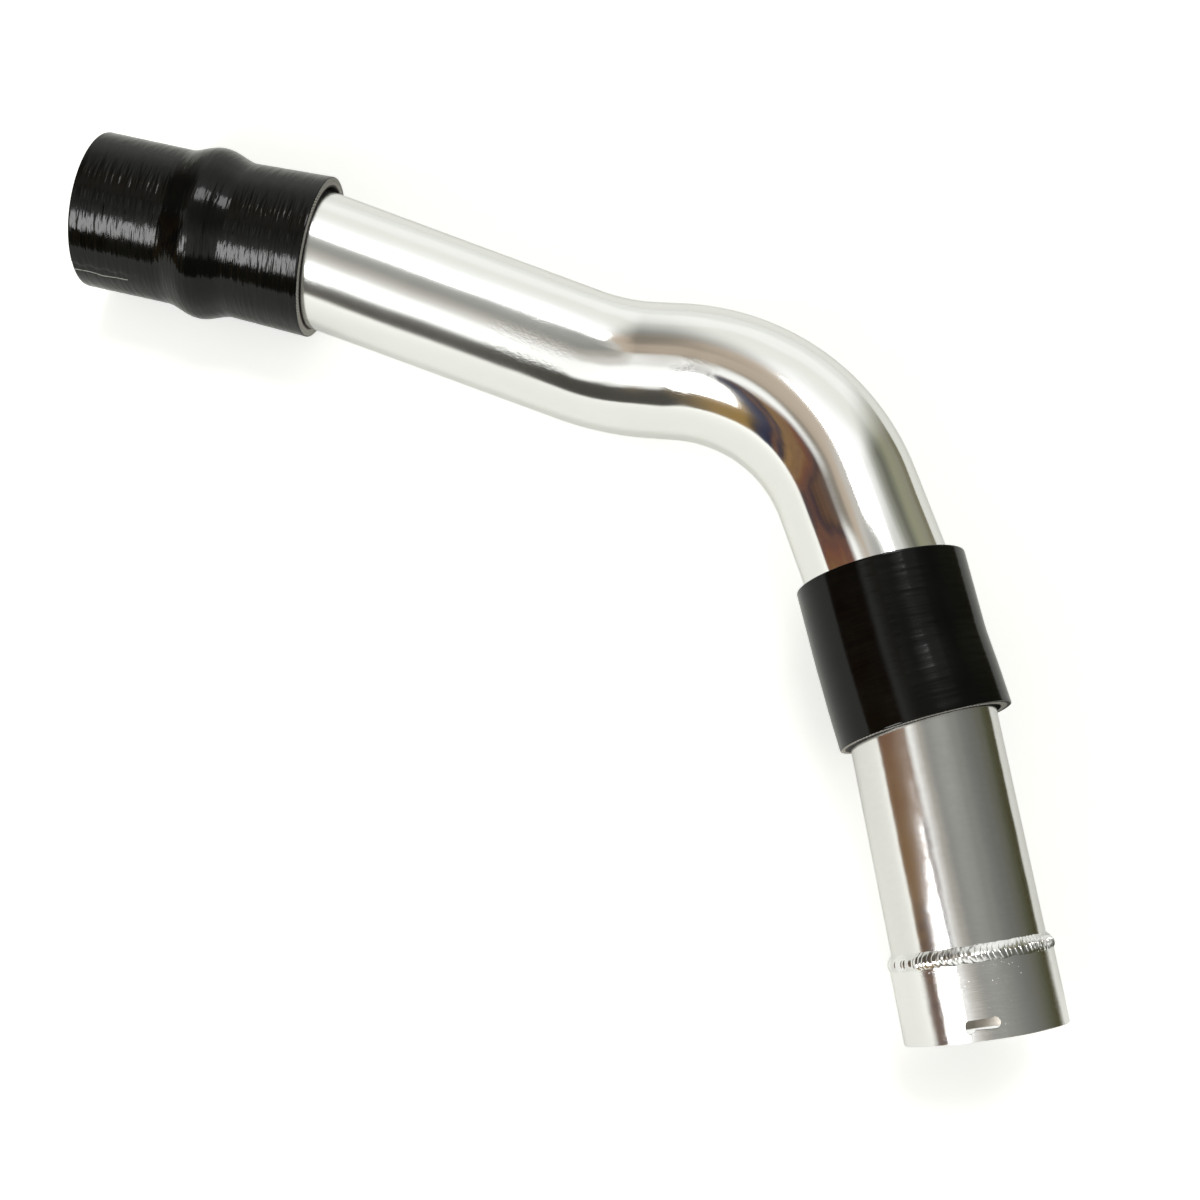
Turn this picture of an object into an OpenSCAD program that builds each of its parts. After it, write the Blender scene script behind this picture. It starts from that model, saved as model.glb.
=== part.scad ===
// Bent aluminium intercooler pipe with a hump hose, a coupler hose and a slotted end collar.
// Millimetres, +Z up. The pipe lies as it comes to rest on a flat floor, on the hump, the first bend and
// the collar's end. The origin is the centre of the hump hose's free mouth, and the first straight runs
// along +X in plan.

/* [Tube] */
// outside diameter of both aluminium tubes
tube_od = 76.2; // [60:0.1:90]
// wall of both aluminium tubes
tube_wall = 2; // [1.5:0.1:3]
// centre line radius of both bends
bend_radius = 114; // [100:1:150]

/* [Upper pipe] */
// straight from the tube's end in the hump hose to the first bend
first_straight = 173; // [120:1:260]
// angle of the first bend
first_bend = 22; // [10:0.5:40]
// direction of the first bend round the tube
first_roll = 231; // [200:1:260]
// straight between the two bends
mid_straight = 16; // [5:1:80]
// angle of the second bend
second_bend = 63.3; // [40:0.1:90]
// direction of the second bend round the tube
second_roll = -8.5; // [-30:0.5:30]
// straight from the second bend to the tube's end in the coupler
last_straight = 71.5; // [50:0.5:140]

/* [Hoses] */
// wall of both silicone hoses
hose_wall = 5.5; // [3:0.1:7]
// play left between a tube and the stretched mouth round it
hose_play = 0.05; // [0.02:0.01:0.3]
// how far a stretched mouth goes on past the end of its tube
hose_overrun = 2; // [1:0.1:4]

/* [Hump hose] */
// length of the hump hose
hump_hose_length = 129.5; // [110:0.5:180]
// how much narrower the hump hose's free bore is than the tube
hump_hose_stretch = 0.2; // [0:0.05:1]
// depth the upper pipe goes into the hump hose
hump_grip = 18; // [12:1:26]
// angle at which the hump hose hangs on the pipe
hump_hose_tilt = 8.1; // [2:0.1:9]
// direction of that angle round the tube
hump_hose_tilt_dir = 203; // [160:1:240]
// distance of the hump's crown from the hose's mouth
hump_centre = 63; // [58:1:68]
// width of the hump along the hose
hump_width = 38; // [30:1:44]
// height of the hump over the hose
hump_height = 4.7; // [2:0.1:8]

/* [Coupler hose] */
// length of the coupler hose
coupler_length = 84.5; // [78:0.5:120]
// depth each tube goes into the coupler
coupler_grip = 24; // [18:1:26]
// how much wider than the tube the coupler's bore is at its middle
coupler_waist_play = 2.4; // [0.2:0.1:3]
// angle at which the coupler sits on the upper pipe
coupler_tilt = 5.6; // [1:0.1:7]
// direction of that angle round the tube
coupler_tilt_dir = -1; // [-40:1:40]
// angle by which the coupler bends at its middle
coupler_bend = 2.5; // [1:0.1:6]
// direction of the coupler's bend round the tube
coupler_bend_dir = 173; // [140:1:220]
// centre line radius of the coupler's bend
coupler_bend_radius = 180; // [120:5:240]

/* [Lower tube] */
// length of the lower tube from its end in the coupler to the collar
lower_length = 137.3; // [100:0.1:220]
// angle at which the lower tube stands in the coupler
lower_tilt = 5.8; // [1:0.1:8]
// direction of that angle round the tube
lower_tilt_dir = -4; // [-30:1:30]

/* [End collar] */
// outside diameter of the end collar over the tube's diameter
collar_step = 4.3; // [2:0.1:8]
// wall of the end collar
collar_wall = 3.3; // [2.6:0.1:5]
// length of the end collar
collar_length = 39; // [25:1:60]
// distance of the slot's middle from the collar's open end
slot_from_end = 7.6; // [6:0.1:14]
// length of the slot round the collar
slot_length = 16.6; // [12:0.1:24]
// height of the slot's bar
slot_height = 4.6; // [3:0.1:6]
// diameter of the slot's round end
slot_end_d = 5.6; // [4.6:0.1:8]
// diameter of the slot's round foot at its other end
slot_foot_d = 4.4; // [3:0.1:6]
// distance of the foot's middle below the bar's middle
slot_foot_drop = 1.9; // [1:0.1:3]
// direction of the slot round the collar
slot_dir = 262; // [0:1:359]

/* [Weld bead] */
// width of the bead along the tube
bead_width = 8.4; // [6:0.1:12]
// height of the bead's crown over the collar
bead_crown = 0.9; // [0.4:0.1:2]

/* [Rest] */
// side of the tube, round its first straight, that lies down
rest_side = 70; // [0:1:359]

/* [Hidden] */
$fn = 96;
tube_r = tube_od / 2;
collar_r = tube_r + collar_step / 2;
collar_bore_r = collar_r - collar_wall;
bead_r = collar_r + bead_crown;
hump_bore_r = tube_r - hump_hose_stretch / 2;
hump_mouth_r = max(mouth_radius(hump_hose_tilt, hump_grip), hump_bore_r);
coupler_top_r = mouth_radius(coupler_tilt, coupler_grip);
coupler_low_r = mouth_radius(lower_tilt, coupler_grip);
waist_bore_r = tube_r + coupler_waist_play / 2;
coupler_arc = coupler_bend_radius * coupler_bend * PI / 180;
coupler_half = (coupler_length - coupler_arc) / 2;
// the wall of a bend stands back this much on both sides, and its ends run this far into the wall of the
// straights, so they join as one solid
seam_step = 0.12;
seam_lap = 0.6;
alloy_grey = [0.80, 0.81, 0.83];
hose_black = [0.05, 0.05, 0.055];

// bore that just takes a tube standing at this angle over this depth
function mouth_radius(angle, depth) = tube_r / cos(angle) + depth / 2 * tan(angle) + hose_play;

// frames: local z runs along the tube from the hump hose to the collar
function shift(x, y, z) = [[1, 0, 0, x], [0, 1, 0, y], [0, 0, 1, z], [0, 0, 0, 1]];
function turn_z(a) = [[cos(a), -sin(a), 0, 0], [sin(a), cos(a), 0, 0], [0, 0, 1, 0], [0, 0, 0, 1]];
function turn_y(a) = [[cos(a), 0, sin(a), 0], [0, 1, 0, 0], [-sin(a), 0, cos(a), 0], [0, 0, 0, 1]];
function bent(r, a, roll) =
    turn_z(roll) * shift(r, 0, 0) * turn_y(a) * shift(-r, 0, 0) * turn_z(-roll);
function tilted(a, dir) = turn_z(dir) * turn_y(a) * turn_z(-dir);
function place(m, p) = [for (i = [0:2]) m[i][0] * p[0] + m[i][1] * p[1] + m[i][2] * p[2] + m[i][3]];
function along(m) = [m[0][2], m[1][2], m[2][2]];
function unit(v) = v / norm(v);

f_bend_1 = shift(0, 0, first_straight);
f_mid = f_bend_1 * bent(bend_radius, first_bend, first_roll);
f_bend_2 = f_mid * shift(0, 0, mid_straight);
f_last = f_bend_2 * bent(bend_radius, second_bend, second_roll);
f_hump = shift(0, 0, hump_grip / 2) * tilted(hump_hose_tilt, hump_hose_tilt_dir)
    * shift(0, 0, hump_grip / 2);
f_coupler = f_last * shift(0, 0, last_straight - coupler_grip / 2)
    * tilted(coupler_tilt, coupler_tilt_dir) * shift(0, 0, -coupler_grip / 2);
f_coupler_bend = f_coupler * shift(0, 0, coupler_half);
f_coupler_low = f_coupler_bend * bent(coupler_bend_radius, coupler_bend, coupler_bend_dir);
f_lower = f_coupler_low * shift(0, 0, coupler_half - coupler_grip / 2)
    * tilted(lower_tilt, lower_tilt_dir) * shift(0, 0, -coupler_grip / 2);
f_collar = f_lower * shift(0, 0, lower_length);

// lowest points, seen along the way down n, of the collar's end, the hump and the first bend
function low_on_circle(m, z, r, n) =
    let (d = along(m), p = n - (n * d) * d) place(m, [0, 0, z]) + r * unit(p);
function low_on_bend(n) =
    let (w = [cos(first_roll), sin(first_roll), 0], a = min(first_bend, max(0, atan2(n[2], -(n * w)))))
    place(f_bend_1, [0, 0, 0]) + bend_radius * (1 - cos(a)) * w
    + [0, 0, bend_radius * sin(a)] + tube_r * n;
function feet(n) = [
    low_on_circle(f_collar, collar_length, collar_r, n),
    low_on_circle(f_hump, -hump_centre, hump_bore_r + hose_wall + hump_height, n),
    low_on_bend(n)
];
function plane_down(p, n) = let (c = unit(cross(p[1] - p[0], p[2] - p[0]))) c * n > 0 ? c : -c;
function settle(n, k) = k == 0 ? n : settle(plane_down(feet(n), n), k - 1);
down = settle([cos(rest_side), sin(rest_side), 0], 12);
ahead = unit([0, 0, 1] - down[2] * down);
aside = cross(-down, ahead);
mouth = place(f_hump, [0, 0, -hump_hose_length]);
rest = [
    [ahead[0], ahead[1], ahead[2], -(ahead * mouth)],
    [aside[0], aside[1], aside[2], -(aside * mouth)],
    [-down[0], -down[1], -down[2], down * mouth],
    [0, 0, 0, 1]
];

// profiles, as [radius, z] lists down the outside of a hose
function ease(t) = (1 - cos(180 * t)) / 2;
blend_steps = 6;
hump_steps = 16;
hump_start = hump_centre - hump_width / 2;
hump_crest = [for (i = [0:hump_steps]) let (t = i / hump_steps)
    [hump_bore_r + hump_height * ease(1 - abs(2 * t - 1)), -(hump_start + hump_width * t)]];
hump_outer = concat(
    [[hump_mouth_r + hose_wall, 0]],
    outward(hump_crest, hose_wall),
    [[hump_bore_r + hose_wall, -hump_hose_length]]
);
hump_inner = concat(
    [[hump_mouth_r, 0]],
    blend(hump_mouth_r, hump_bore_r, -hump_grip - hose_overrun, -hump_start + hose_overrun),
    hump_crest,
    [[hump_bore_r, -hump_hose_length]]
);
function blend(r1, r2, z1, z2) = [for (i = [0:blend_steps]) let (t = i / blend_steps)
    [r1 + (r2 - r1) * ease(t), z1 + (z2 - z1) * t]];
function coupler_outer(mouth_r) = [
    [mouth_r + hose_wall, 0],
    [waist_bore_r + hose_wall, coupler_half - seam_lap - seam_step],
    [waist_bore_r + hose_wall, coupler_half]
];
function coupler_inner(mouth_r) = concat(
    [[mouth_r, 0]],
    blend(mouth_r, waist_bore_r, coupler_grip + hose_overrun, coupler_half - seam_lap - seam_step),
    [[waist_bore_r, coupler_half]]
);
function flipped(list) = [for (i = [len(list) - 1:-1:0]) list[i]];
function outward(list, step) = [for (p = list) [p[0] + step, p[1]]];

module at(frame) {
    multmatrix(rest * frame) children();
}

module shell_of(outer, inner) {
    rotate_extrude() polygon(concat(outer, flipped(inner)));
}

module straight(r, wall, length) {
    rotate_extrude() translate([r - wall, 0]) square([wall, length]);
}

module curve(r, wall, radius, angle, roll) {
    lap = seam_lap / radius * 180 / PI;
    rotate([0, 0, roll]) translate([radius, 0, 0]) rotate([90, 0, 180]) rotate([0, 0, -lap])
        rotate_extrude(angle = angle + 2 * lap) translate([radius, 0]) difference() {
            circle(r = r - seam_step);
            circle(r = r - wall + seam_step);
        }
}

module hump_hose() {
    color(hose_black) at(f_hump) shell_of(hump_outer, hump_inner);
}

module upper_pipe() {
    color(alloy_grey) union() {
        at(shift(0, 0, 0)) straight(tube_r, tube_wall, first_straight);
        at(f_bend_1) curve(tube_r, tube_wall, bend_radius, first_bend, first_roll);
        at(f_mid) straight(tube_r, tube_wall, mid_straight);
        at(f_bend_2) curve(tube_r, tube_wall, bend_radius, second_bend, second_roll);
        at(f_last) straight(tube_r, tube_wall, last_straight);
    }
}

module coupler_hose() {
    color(hose_black) union() {
        at(f_coupler) shell_of(coupler_outer(coupler_top_r), coupler_inner(coupler_top_r));
        at(f_coupler_bend) curve(waist_bore_r + hose_wall, hose_wall, coupler_bend_radius,
            coupler_bend, coupler_bend_dir);
        at(f_coupler_low * shift(0, 0, coupler_half)) mirror([0, 0, 1])
            shell_of(coupler_outer(coupler_low_r), coupler_inner(coupler_low_r));
    }
}

module lower_tube() {
    color(alloy_grey) at(f_lower) straight(tube_r, tube_wall, lower_length);
}

module weld_bead() {
    foot = bead_width * 0.56;
    lead = bead_width - foot;
    steps = 12;
    crown = [for (i = [0:steps]) let (t = i / steps)
        [tube_r + (collar_r - tube_r) * t + (bead_r - (tube_r + collar_r) / 2) * sin(180 * t),
            -foot + bead_width * t]];
    color(alloy_grey) at(f_collar) rotate_extrude()
        polygon(concat(crown, [[collar_r, 0], [tube_r, 0]]));
}

module slot_cut() {
    bar = slot_length - slot_end_d / 2 - slot_foot_d / 2;
    rotate([0, 90, 0]) linear_extrude(height = collar_r + bead_crown) rotate([0, 0, -90]) union() {
        translate([-bar / 2, -slot_height / 2]) square([bar, slot_height]);
        translate([bar / 2, 0]) circle(d = slot_end_d);
        translate([-bar / 2, -slot_foot_drop * 0.3]) circle(d = slot_foot_d);
        translate([-bar / 2, -slot_foot_drop]) circle(d = slot_foot_d * 0.9);
    }
}

module end_collar() {
    color(alloy_grey) at(f_collar) difference() {
        straight(collar_r, collar_wall, collar_length);
        translate([0, 0, collar_length - slot_from_end]) rotate([0, 0, slot_dir]) slot_cut();
    }
}

hump_hose();
upper_pipe();
coupler_hose();
lower_tube();
weld_bead();
end_collar();
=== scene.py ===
"""Intercooler pipe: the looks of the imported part, in its own frame, in metres."""

import math

import bmesh
import bpy
import numpy as np
from mathutils import Matrix, Vector
from mathutils import noise as mnoise


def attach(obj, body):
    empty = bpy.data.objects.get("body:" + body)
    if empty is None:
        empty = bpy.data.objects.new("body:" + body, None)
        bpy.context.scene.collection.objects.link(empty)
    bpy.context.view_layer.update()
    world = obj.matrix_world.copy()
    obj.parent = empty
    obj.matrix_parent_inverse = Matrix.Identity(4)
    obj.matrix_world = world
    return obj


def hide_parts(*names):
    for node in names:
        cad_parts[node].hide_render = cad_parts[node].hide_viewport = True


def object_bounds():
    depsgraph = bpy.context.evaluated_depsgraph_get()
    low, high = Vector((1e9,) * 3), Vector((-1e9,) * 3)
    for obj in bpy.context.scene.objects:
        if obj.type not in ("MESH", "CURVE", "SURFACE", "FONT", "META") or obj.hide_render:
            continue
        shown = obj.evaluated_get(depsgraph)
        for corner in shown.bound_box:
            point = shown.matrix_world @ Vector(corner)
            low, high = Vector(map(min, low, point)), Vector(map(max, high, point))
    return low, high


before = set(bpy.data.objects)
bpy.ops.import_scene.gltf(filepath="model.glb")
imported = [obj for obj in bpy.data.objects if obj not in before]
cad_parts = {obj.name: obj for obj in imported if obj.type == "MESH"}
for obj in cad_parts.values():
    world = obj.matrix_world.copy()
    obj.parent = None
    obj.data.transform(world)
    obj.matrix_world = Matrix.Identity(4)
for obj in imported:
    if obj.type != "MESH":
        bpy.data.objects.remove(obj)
CAD_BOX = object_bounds()

# Sizes, as in the part's source
MM = 0.001
TUBE_R = 38.1 * MM
TUBE_WALL = 2.0 * MM
BEND_RADIUS = 114.0 * MM
FIRST_STRAIGHT = 173.0 * MM
FIRST_BEND, FIRST_ROLL = 22.0, 231.0
MID_STRAIGHT = 16.0 * MM
SECOND_BEND, SECOND_ROLL = 63.3, -8.5
LAST_STRAIGHT = 71.5 * MM
HOSE_WALL = 5.5 * MM
HOSE_PLAY = 0.05 * MM
HOSE_OVERRUN = 2.0 * MM
HUMP_HOSE_LENGTH = 129.5 * MM
HUMP_HOSE_STRETCH = 0.2 * MM
HUMP_GRIP = 18.0 * MM
HUMP_TILT, HUMP_TILT_DIR = 8.1, 203.0
HUMP_CENTRE = 63.0 * MM
HUMP_WIDTH = 38.0 * MM
HUMP_HEIGHT = 4.7 * MM
COUPLER_LENGTH = 84.5 * MM
COUPLER_GRIP = 24.0 * MM
COUPLER_WAIST_PLAY = 2.4 * MM
COUPLER_TILT, COUPLER_TILT_DIR = 5.6, -1.0
COUPLER_BEND, COUPLER_BEND_DIR = 2.5, 173.0
COUPLER_BEND_RADIUS = 180.0 * MM
LOWER_LENGTH = 137.3 * MM
LOWER_TILT, LOWER_TILT_DIR = 5.8, -4.0
COLLAR_STEP = 4.3 * MM
COLLAR_WALL = 3.3 * MM
COLLAR_LENGTH = 39.0 * MM
SLOT_FROM_END = 7.6 * MM
SLOT_LENGTH = 16.6 * MM
SLOT_HEIGHT = 4.6 * MM
SLOT_END_D = 5.6 * MM
SLOT_FOOT_D = 4.4 * MM
SLOT_FOOT_DROP = 1.9 * MM
SLOT_DIR = 262.0
BEAD_WIDTH = 8.4 * MM
BEAD_CROWN = 0.9 * MM
REST_SIDE = 70.0
SEAM_STEP = 0.12 * MM
SEAM_LAP = 0.6 * MM

# Sizes of the finish alone
HOSE_EDGE = 0.5 * MM
# The hoses' skin lies this far inside the solid, and is uneven down to the second depth
HOSE_INSET = 0.01 * MM
HOSE_UNEVEN = 0.6 * MM
COLLAR_EDGE = 0.35 * MM
# Distances from the coupler's low end
FLARE_START, FLARE_END = 42 * MM, 14 * MM

COLLAR_R = TUBE_R + COLLAR_STEP / 2
COLLAR_BORE_R = COLLAR_R - COLLAR_WALL
BEAD_R = COLLAR_R + BEAD_CROWN


def rad(a):
    return math.radians(a)


def mouth_radius(angle, depth):
    return TUBE_R / math.cos(rad(angle)) + depth / 2 * math.tan(rad(angle)) + HOSE_PLAY


HUMP_BORE_R = TUBE_R - HUMP_HOSE_STRETCH / 2
HUMP_MOUTH_R = max(mouth_radius(HUMP_TILT, HUMP_GRIP), HUMP_BORE_R)
COUPLER_TOP_R = mouth_radius(COUPLER_TILT, COUPLER_GRIP)
COUPLER_LOW_R = mouth_radius(LOWER_TILT, COUPLER_GRIP)
WAIST_R = TUBE_R + COUPLER_WAIST_PLAY / 2
COUPLER_ARC = COUPLER_BEND_RADIUS * rad(COUPLER_BEND)
COUPLER_HALF = (COUPLER_LENGTH - COUPLER_ARC) / 2
WAIST_START = COUPLER_HALF - SEAM_LAP - SEAM_STEP


# Frames: local z runs along the tube, as in the part's source
def shift(x, y, z):
    return Matrix.Translation((x, y, z))


def turn_y(a):
    return Matrix.Rotation(rad(a), 4, "Y")


def turn_z(a):
    return Matrix.Rotation(rad(a), 4, "Z")


def bent(r, a, roll):
    return turn_z(roll) @ shift(r, 0, 0) @ turn_y(a) @ shift(-r, 0, 0) @ turn_z(-roll)


def tilted(a, direction):
    return turn_z(direction) @ turn_y(a) @ turn_z(-direction)


F_BEND_1 = shift(0, 0, FIRST_STRAIGHT)
F_MID = F_BEND_1 @ bent(BEND_RADIUS, FIRST_BEND, FIRST_ROLL)
F_BEND_2 = F_MID @ shift(0, 0, MID_STRAIGHT)
F_LAST = F_BEND_2 @ bent(BEND_RADIUS, SECOND_BEND, SECOND_ROLL)
F_HUMP = shift(0, 0, HUMP_GRIP / 2) @ tilted(HUMP_TILT, HUMP_TILT_DIR) @ shift(0, 0, HUMP_GRIP / 2)
F_COUPLER = (
    F_LAST
    @ shift(0, 0, LAST_STRAIGHT - COUPLER_GRIP / 2)
    @ tilted(COUPLER_TILT, COUPLER_TILT_DIR)
    @ shift(0, 0, -COUPLER_GRIP / 2)
)
F_COUPLER_BEND = F_COUPLER @ shift(0, 0, COUPLER_HALF)
F_COUPLER_LOW = F_COUPLER_BEND @ bent(COUPLER_BEND_RADIUS, COUPLER_BEND, COUPLER_BEND_DIR)
F_LOWER = (
    F_COUPLER_LOW
    @ shift(0, 0, COUPLER_HALF - COUPLER_GRIP / 2)
    @ tilted(LOWER_TILT, LOWER_TILT_DIR)
    @ shift(0, 0, -COUPLER_GRIP / 2)
)
F_COLLAR = F_LOWER @ shift(0, 0, LOWER_LENGTH)


def low_on_circle(m, z, r, n):
    """The point furthest along n on a circle of radius r, square to the frame's z."""
    d = (m @ Vector((0, 0, 1, 0))).to_3d()
    p = n - n.dot(d) * d
    return (m @ Vector((0, 0, z, 1))).to_3d() + r * p.normalized()


def low_on_bend(n):
    """The point furthest along n on the first bend."""
    w = Vector((math.cos(rad(FIRST_ROLL)), math.sin(rad(FIRST_ROLL)), 0))
    a = min(rad(FIRST_BEND), max(0.0, math.atan2(n.z, -n.dot(w))))
    start = Vector((0, 0, FIRST_STRAIGHT))
    middle = start + BEND_RADIUS * (1 - math.cos(a)) * w + Vector((0, 0, BEND_RADIUS * math.sin(a)))
    return middle + TUBE_R * n


def settle():
    """The way down when the pipe rests on the collar's end, the hump and the first bend."""
    n = Vector((math.cos(rad(REST_SIDE)), math.sin(rad(REST_SIDE)), 0))
    for _ in range(12):
        a = low_on_circle(F_COLLAR, COLLAR_LENGTH, COLLAR_R, n)
        b = low_on_circle(F_HUMP, -HUMP_CENTRE, HUMP_BORE_R + HOSE_WALL + HUMP_HEIGHT, n)
        c = low_on_bend(n)
        k = (b - a).cross(c - a).normalized()
        n = k if k.dot(n) > 0 else -k
    return n


DOWN = settle()
AHEAD = (Vector((0, 0, 1)) - DOWN.z * DOWN).normalized()
ASIDE = (-DOWN).cross(AHEAD)
MOUTH = (F_HUMP @ Vector((0, 0, -HUMP_HOSE_LENGTH, 1))).to_3d()
TURN = Matrix((AHEAD, ASIDE, -DOWN))
REST = Matrix.Translation(-(TURN @ MOUTH)) @ TURN.to_4x4()


# Meshes
def put(name, data, matrix):
    """A new object in the scene, at the place that the matrix gives."""
    obj = bpy.data.objects.new(name, data)
    bpy.context.scene.collection.objects.link(obj)
    obj.matrix_world = matrix
    return obj


def new_object(name, verts, faces, mats, mat_ids=None, matrix=None, smooth=True):
    mesh = bpy.data.meshes.new(name)
    mesh.from_pydata([tuple(v) for v in verts], [], faces)
    for m in mats:
        mesh.materials.append(m)
    if mat_ids is not None:
        mesh.polygons.foreach_set("material_index", np.asarray(mat_ids, dtype=np.int32))
    if smooth:
        mesh.polygons.foreach_set("use_smooth", [True] * len(mesh.polygons))
    mesh.update()
    return put(name, mesh, matrix if matrix is not None else Matrix.Identity(4))


def seat(obj):
    """Moves the object's place into its mesh, which keeps its own coordinates for the materials."""
    mesh = obj.data
    own = np.empty(len(mesh.vertices) * 3, dtype=np.float32)
    mesh.vertices.foreach_get("co", own)
    mesh.attributes.new("local", "FLOAT_VECTOR", "POINT").data.foreach_set("vector", own)
    mesh.transform(obj.matrix_world)
    obj.matrix_world = Matrix.Identity(4)
    mesh.update()


def ease(t):
    return (1 - math.cos(math.pi * t)) / 2


def spaced(a, b, n):
    return [a + (b - a) * i / n for i in range(n + 1)]


def angles(segs):
    return [2 * math.pi * k / segs for k in range(segs)]


def grid_faces(rings, segs):
    """Faces of a grid of closed rings, each of segs points; the last ring joins the first."""
    faces = []
    for i in range(rings):
        a, b = i * segs, ((i + 1) % rings) * segs
        for k in range(segs):
            n = (k + 1) % segs
            faces.append((a + k, a + n, b + n, b + k))
    return faces


def face_outward(obj, sharp=180.0):
    """Turns the faces outward, and stops smooth shading at edges sharper than the angle."""
    bm = bmesh.new()
    bm.from_mesh(obj.data)
    bmesh.ops.recalc_face_normals(bm, faces=bm.faces[:])
    for e in bm.edges:
        if len(e.link_faces) == 2 and e.calc_face_angle(0.0) > rad(sharp):
            e.smooth = False
    bm.to_mesh(obj.data)
    bm.free()


def revolve(name, profile, segs, mats, matrix, sharp=None, warp=None, track=None):
    """A closed profile of (r, z, material) turned round local z, or round a track with a frame for each z.

    The warp may change the radius at each point. Edges above the sharp angle are kept crisp.
    """
    verts, ids = [], []
    for r, z, m in profile:
        at = shift(0, 0, z) if track is None else track(z)
        for a in angles(segs):
            rr = r if warp is None else warp(r, z, a)
            verts.append(at @ Vector((rr * math.cos(a), rr * math.sin(a), 0)))
        ids += [m] * segs
    obj = new_object(name, verts, grid_faces(len(profile), segs), mats, ids, matrix)
    if sharp is not None:
        face_outward(obj, sharp)
    return obj


# Shader nodes
def material(name):
    m = bpy.data.materials.new(name)
    m.use_nodes = True
    nt = m.node_tree
    nt.nodes.clear()
    out = nt.nodes.new("ShaderNodeOutputMaterial")
    bsdf = nt.nodes.new("ShaderNodeBsdfPrincipled")
    nt.links.new(bsdf.outputs[0], out.inputs[0])
    return m, nt, bsdf


def fill(nt, n, inputs):
    """Links each named input of a node to a socket, or sets its constant."""
    for k, v in inputs.items():
        if isinstance(v, bpy.types.NodeSocket):
            nt.links.new(v, n.inputs[k])
        else:
            n.inputs[k].default_value = v


def node(nt, kind, inputs=None, **props):
    n = nt.nodes.new(kind)
    for k, v in props.items():
        setattr(n, k, v)
    fill(nt, n, inputs or {})
    return n


def maths(nt, op, a, b=0.0, c=0.0):
    return node(nt, "ShaderNodeMath", {0: a, 1: b, 2: c}, operation=op).outputs[0]


def plus(nt, a, b):
    return maths(nt, "ADD", a, b)


def times(nt, a, b):
    return maths(nt, "MULTIPLY", a, b)


def times_plus(nt, a, b, c):
    return maths(nt, "MULTIPLY_ADD", a, b, c)


def between(nt, value, low, high, at_low=0.0, at_high=1.0):
    """Goes softly from at_low at the value low to at_high at the value high; low may be the larger one."""
    ins = {"Value": value, "From Min": low, "From Max": high, "To Min": at_low, "To Max": at_high}
    return node(nt, "ShaderNodeMapRange", ins, interpolation_type="SMOOTHSTEP").outputs[0]


def blend(nt, amount, a, b):
    """Colour a where the amount is 0, and b where it is 1; each is a socket or a colour."""
    ends = [c if isinstance(c, bpy.types.NodeSocket) else (*c, 1) for c in (a, b)]
    return node(nt, "ShaderNodeMix", {0: amount, 6: ends[0], 7: ends[1]}, data_type="RGBA").outputs[2]


def ramp(nt, fac, stops, interpolation="LINEAR"):
    n = node(nt, "ShaderNodeValToRGB", {0: fac})
    cr = n.color_ramp
    cr.interpolation = interpolation
    while len(cr.elements) < len(stops):
        cr.elements.new(1.0)
    for e, (pos, col) in zip(cr.elements, stops):
        e.position = pos
        e.color = (*col, 1)
    return n.outputs[0]


def noise(nt, vec, scale, detail=3.0, rough=0.5):
    ins = {"Vector": vec, "Scale": scale, "Detail": detail, "Roughness": rough}
    return node(nt, "ShaderNodeTexNoise", ins).outputs[0]


def vector(nt, x, y, z=0.0):
    return node(nt, "ShaderNodeCombineXYZ", {0: x, 1: y, 2: z}).outputs[0]


def local_coords(nt):
    """The piece's own coordinates, which seat() stores on its mesh."""
    return node(nt, "ShaderNodeAttribute", attribute_name="local").outputs["Vector"]


def polar(nt, vec):
    """Radius, angle and z of a point in the object's own frame."""
    x, y, z = node(nt, "ShaderNodeSeparateXYZ", {0: vec}).outputs[:3]
    r = maths(nt, "SQRT", plus(nt, times(nt, x, x), times(nt, y, y)))
    return r, maths(nt, "ARCTAN2", y, x), z


def bump(nt, height, distance, strength=1.0, normal=None):
    ins = {"Height": height, "Distance": distance, "Strength": strength}
    if normal is not None:
        ins["Normal"] = normal
    return node(nt, "ShaderNodeBump", ins).outputs[0]


def ball(nt, vec, centre, radius):
    """1 at a point of the object's own frame, falling softly to 0 at the radius."""
    ins = {0: vec, 1: tuple(centre)}
    away = node(nt, "ShaderNodeVectorMath", ins, operation="DISTANCE").outputs["Value"]
    return between(nt, away, radius, radius * 0.25)


# Materials
# Rough patches of the polished pipe: the tube's frame there, the turn round it and the patch's radius
RUBBED = [
    (shift(0, 0, 134 * MM), 284.0, 16 * MM),
    (shift(0, 0, 149 * MM), 284.0, 20 * MM),
    (shift(0, 0, 162 * MM), 284.0, 16 * MM),
    (F_BEND_2 @ bent(BEND_RADIUS, 6.0, SECOND_ROLL), 288.0, 13 * MM),
    (F_BEND_2 @ bent(BEND_RADIUS, 10.5, SECOND_ROLL), 278.0, 13 * MM),
]
# The first straight is polished less well than the bends; the change lies between these heights
DULL_UNTIL, BRIGHT_FROM = 130 * MM, 200 * MM


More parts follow.
